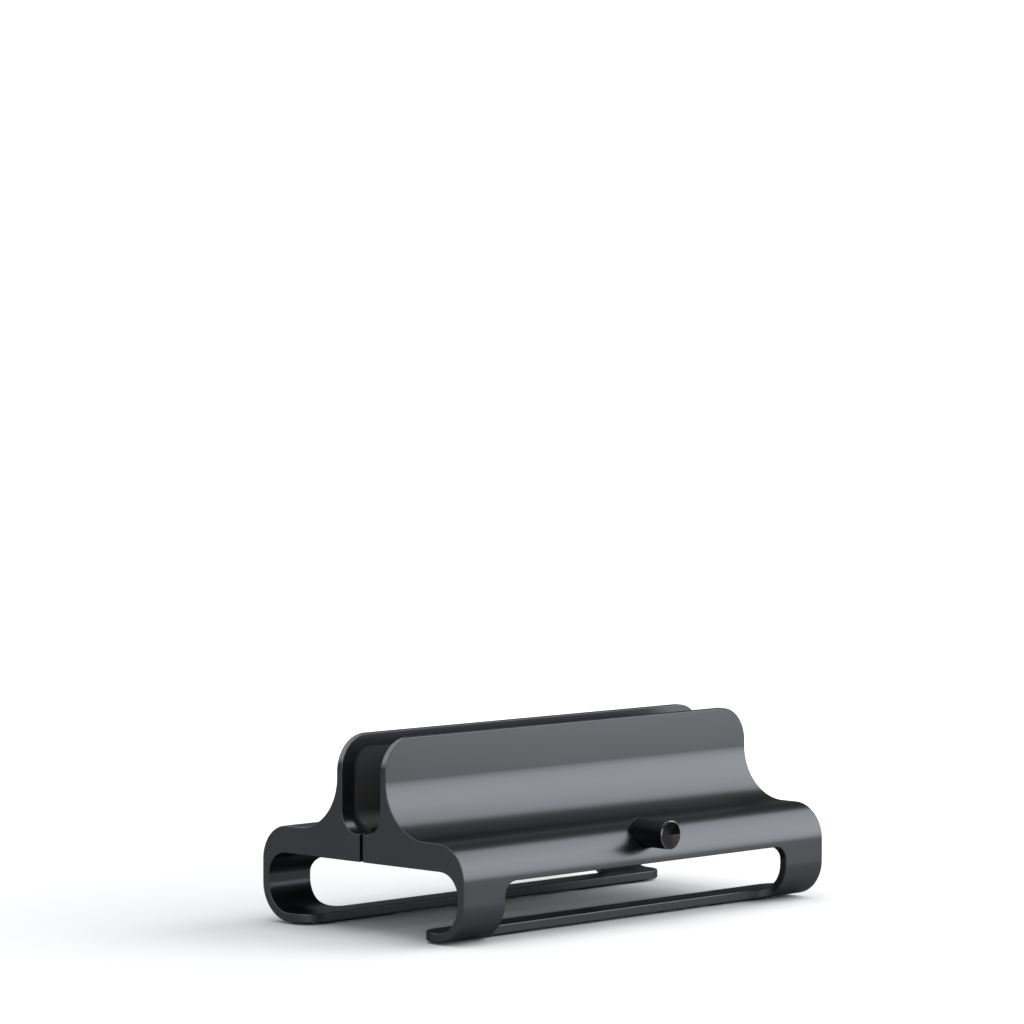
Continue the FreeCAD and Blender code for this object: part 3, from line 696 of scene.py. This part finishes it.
def make_foot_pad(node):
    """A silicone strip with a well-rounded tread."""
    low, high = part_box(node)
    tread = arc((PAD_EDGE, low.z + PAD_EDGE), PAD_EDGE, -QUARTER, -2 * QUARTER, TREAD_STEPS)
    rings = [strip_ring(low, high, inset, z) for inset, z in tread]
    rings.append(strip_ring(low, high, 0, high.z - PAD_TOP_EDGE))
    rings.append(strip_ring(low, high, PAD_TOP_EDGE, high.z))
    mesh = bmesh.new()
    add_loft(mesh, rings)
    show(mesh, f"{node}_moulding", node)


for end in ("front", "rear"):
    make_liner(end)
    for side in ("left", "right"):
        make_foot_pad(f"{end}_{side}_foot_pad")

# ---------------------------------------------------------------- the two halves

for end in ("front", "rear"):
    refine(f"{end}_cradle", f"{end}_cradle_extrusion")

# ---------------------------------------------------------------- small parts

SOFTENED = {
    "travel_nut": ("brass_travel_nut", 0.25 * MM),
    "knob_thrust_washer": ("acetal_thrust_washer", 0.08 * MM),
    "knob_set_screw": ("socket_set_screw", 0.08 * MM),
    "retaining_washer": ("steel_retaining_washer", 0.06 * MM),
    "retaining_clip": ("spring_steel_clip", 0.06 * MM),
}
for end in ("front", "rear"):
    SOFTENED[f"{end}_cover_plate"] = (f"{end}_cover_sheet", 0.15 * MM)
    SOFTENED[f"{end}_cover_screws"] = (f"{end}_countersunk_screws", 0.06 * MM)
for side in ("left", "right"):
    SOFTENED[f"guide_bush_{side}"] = (f"turned_bush_{side}", 0.15 * MM)
    SOFTENED[f"guide_rod_{side}"] = (f"ground_rod_{side}", 0.08 * MM)

for node, (name, width) in SOFTENED.items():
    soften(node, name, width)

# ---------------------------------------------------------------- room

FLOOR_HALF = 6.0
PAPER = 0.90
PAPER_ROUGHNESS = 0.9
PAPER_SEEN_IN_METAL = 0.34
FADE_START = 0.12
FADE_END = 0.60
FADE_GLOW = 0.6
BACKDROP = 1.1
SKY = 0.55
SKY_GLOW_GAIN = 7.0
SKY_TINT = (0.94, 0.965, 1.0)
GLOW_DIRECTION = (0.712, -0.701, 0.0)
GLOW_START = 0.5
ROOM_DARK = 0.12
ROOM_GLOW = 0.4
SIDE_BOX_X = 0.6
SIDE_BOX_NEAR, SIDE_BOX_FAR = -1.0, 0.062
SIDE_BOX_LOW, SIDE_BOX_HIGH = 0.02, 0.85
SIDE_BOX_RADIANCE = 2.4
LEFT_BOX_RADIANCE = 1.5
SIDE_BOX_ROLL = math.radians(9)
REAR_BOX_X = -0.2
REAR_BOX_Y = 0.75
REAR_BOX_HEIGHT = 0.62
REAR_BOX_SIZE = (1.7, 0.6)
REAR_BOX_RADIANCE = 1.9
TOP_BOX_X, TOP_BOX_Y = -0.2, 0.1
TOP_BOX_HEIGHT = 1.6
TOP_BOX_SIZE = 1.6
TOP_BOX_RADIANCE = 1.2


def add_floor():
    """Pale paper, darker in the metal's reflections, that fades to white for the camera."""
    mesh = bpy.data.meshes.new("floor")
    corners = [(x, y, 0) for x, y in ((-FLOOR_HALF, -FLOOR_HALF), (FLOOR_HALF, -FLOOR_HALF),
                                      (FLOOR_HALF, FLOOR_HALF), (-FLOOR_HALF, FLOOR_HALF))]
    mesh.from_pydata(corners, [], [(0, 1, 2, 3)])
    floor = bpy.data.objects.new("floor", mesh)
    bpy.context.scene.collection.objects.link(floor)
    shader = Shader("floor", (PAPER, PAPER, PAPER), 0.0, PAPER_ROUGHNESS)
    shader.principled.inputs["Specular IOR Level"].default_value = 0.0
    path = shader.add("ShaderNodeLightPath")
    shader.tint(shader.remap(path.outputs["Is Glossy Ray"], 0, 1, 1, PAPER_SEEN_IN_METAL / PAPER))
    place = shader.add("ShaderNodeTexCoord")
    distance = shader.add("ShaderNodeVectorMath", operation="LENGTH")
    shader.join(place.outputs["Object"], distance.inputs[0])
    fade = shader.add("ShaderNodeMapRange", {"From Min": FADE_START, "From Max": FADE_END,
                                             "To Max": FADE_GLOW}, interpolation_type="SMOOTHSTEP")
    shader.join(distance.outputs["Value"], fade.inputs["Value"])
    seen = shader.calculate("MULTIPLY", fade.outputs["Result"], path.outputs["Is Camera Ray"])
    shader.principled.inputs["Emission Color"].default_value = (1, 1, 1, 1)
    shader.join(seen, shader.principled.inputs["Emission Strength"])
    mesh.materials.append(shader.material)


def add_world():
    """White to the camera, a sky over the matt surfaces and a dark room in the metal.

    Both the sky and the room are brighter towards the front right.
    """
    world = bpy.data.worlds.new("studio")
    bpy.context.scene.world = world
    world.use_nodes = True
    world.cycles.sampling_method = "NONE"
    tree = world.node_tree
    nodes, links = tree.nodes, tree.links
    background = nodes["Background"]
    background.inputs["Color"].default_value = (*SKY_TINT, 1)
    place = nodes.new("ShaderNodeTexCoord")
    side = nodes.new("ShaderNodeVectorMath")
    side.operation = "DOT_PRODUCT"
    side.inputs[1].default_value = GLOW_DIRECTION
    links.new(place.outputs["Generated"], side.inputs[0])
    glow = nodes.new("ShaderNodeMapRange")
    glow.interpolation_type = "SMOOTHSTEP"
    glow.inputs["From Min"].default_value = GLOW_START
    glow.inputs["To Min"].default_value = ROOM_DARK
    glow.inputs["To Max"].default_value = ROOM_GLOW
    links.new(side.outputs["Value"], glow.inputs["Value"])
    sky = nodes.new("ShaderNodeMath")
    sky.operation = "MULTIPLY_ADD"
    links.new(glow.outputs["Result"], sky.inputs[0])
    sky.inputs[1].default_value = SKY_GLOW_GAIN
    sky.inputs[2].default_value = SKY - SKY_GLOW_GAIN * ROOM_DARK
    path = nodes.new("ShaderNodeLightPath")
    on_paper = nodes.new("ShaderNodeMix")
    links.new(path.outputs["Is Diffuse Ray"], on_paper.inputs["Factor"])
    links.new(glow.outputs["Result"], on_paper.inputs["A"])
    links.new(sky.outputs["Value"], on_paper.inputs["B"])
    to_camera = nodes.new("ShaderNodeMix")
    to_camera.inputs["B"].default_value = BACKDROP
    links.new(path.outputs["Is Camera Ray"], to_camera.inputs["Factor"])
    links.new(on_paper.outputs["Result"], to_camera.inputs["A"])
    links.new(to_camera.outputs["Result"], background.inputs["Strength"])


def add_light(name, place, target, size, radiance, roll=0.0, lights_paper=True):
    """A rectangular softbox with the given brightness, rolled about the line that it faces along.

    Unless it lights the paper, only reflections show it.
    """
    data = bpy.data.lights.new(name, "AREA")
    data.shape = "RECTANGLE"
    data.size, data.size_y = size
    data.energy = radiance * math.pi * size[0] * size[1]
    light = bpy.data.objects.new(name, data)
    bpy.context.scene.collection.objects.link(light)
    light.location = place
    direction = Vector(target) - Vector(place)
    facing = direction.to_track_quat("-Z", "Y")
    light.rotation_euler = (facing @ Quaternion((0, 0, 1), roll)).to_euler()
    light.visible_camera = False
    light.visible_diffuse = lights_paper


def add_side_box(name, side, radiance, lights_paper):
    """A softbox beside the stand, to the right or the left, which the front half's curves reflect."""
    middle_y = (SIDE_BOX_NEAR + SIDE_BOX_FAR) / 2 + SLOT_Y
    middle_z = (SIDE_BOX_LOW + SIDE_BOX_HIGH) / 2
    size = (SIDE_BOX_FAR - SIDE_BOX_NEAR, SIDE_BOX_HIGH - SIDE_BOX_LOW)
    add_light(name, (side * SIDE_BOX_X, middle_y, middle_z), (0, middle_y, middle_z), size,
              radiance, side * SIDE_BOX_ROLL, lights_paper)


add_floor()
add_world()
add_side_box("right_box", 1, SIDE_BOX_RADIANCE, True)
add_side_box("left_box", -1, LEFT_BOX_RADIANCE, False)
add_light("rear_box", (REAR_BOX_X, REAR_BOX_Y, REAR_BOX_HEIGHT), (REAR_BOX_X, 0, 0), REAR_BOX_SIZE,
          REAR_BOX_RADIANCE, lights_paper=False)
add_light("top_box", (TOP_BOX_X, TOP_BOX_Y, TOP_BOX_HEIGHT), (TOP_BOX_X, TOP_BOX_Y, 0),
          (TOP_BOX_SIZE, TOP_BOX_SIZE), TOP_BOX_RADIANCE)
bpy.context.scene.view_settings.view_transform = "Standard"
